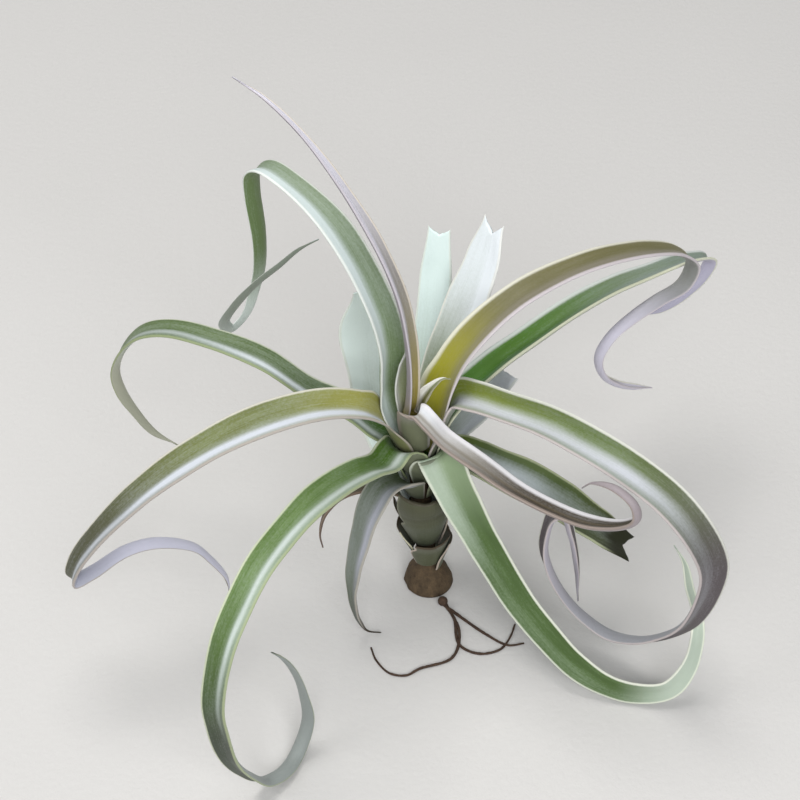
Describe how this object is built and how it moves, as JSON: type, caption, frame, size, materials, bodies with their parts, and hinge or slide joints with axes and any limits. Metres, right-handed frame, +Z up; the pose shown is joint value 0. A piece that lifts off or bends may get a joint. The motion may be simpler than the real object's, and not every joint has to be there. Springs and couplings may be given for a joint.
{
  "type": "air plant",
  "caption": "Stemmed air plant: a rosette of long channelled leaves that arch, fold and curl, standing on its trimmed stem.",
  "frame": {"origin": "centre of the stem's flat butt, on the surface the plant stands on", "axes": "+Z up the plant; +X to the right and +Y away, as seen from the front"},
  "size_m": [0.2399, 0.2099, 0.2055],
  "materials": {
    "leaf_green": "matte, silvery scurf over bright green, pale margins",
    "leaf_olive": "matte, silvery scurf over yellow-olive, pale margins",
    "leaf_silver": "matte, dense silver-white scurf",
    "leaf_mauve": "matte, lavender grey",
    "leaf_dry": "matte, papery and dry",
    "stem_bark": "rough, dark brown",
    "root": "matte, wiry, dark brown"
  },
  "bodies": {
    "root": {"leaf_spike": "leaf_mauve", "leaf_heart": "leaf_olive", "leaf_heart_small": "leaf_silver", "leaf_upper_left": "leaf_green", "leaf_narrow_front": "leaf_silver", "leaf_upper_right_olive": "leaf_olive", "leaf_left_front": "leaf_olive", "leaf_ring": "leaf_green", "leaf_upper_right_green": "leaf_green", "leaf_lower_left": "leaf_green", "leaf_cupped": "leaf_silver", "leaf_left": "leaf_green", "leaf_front_right": "leaf_green", "leaf_trimmed_right": "leaf_silver", "leaf_dry_tip": "leaf_silver", "leaf_trimmed_left": "leaf_silver", "leaf_pale_back": "leaf_silver", "leaf_pale_side": "leaf_silver", "dried_leaf_end": "leaf_dry", "old_sheath_1": "leaf_silver", "old_sheath_2": "leaf_dry", "old_sheath_3": "leaf_silver", "old_sheath_4": "leaf_dry", "old_sheath_5": "leaf_silver", "old_sheath_6": "leaf_dry", "old_sheath_7": "leaf_silver", "old_leaf_base": "leaf_silver", "stem": "stem_bark", "roots": "root"}
  },
  "joints": []
}
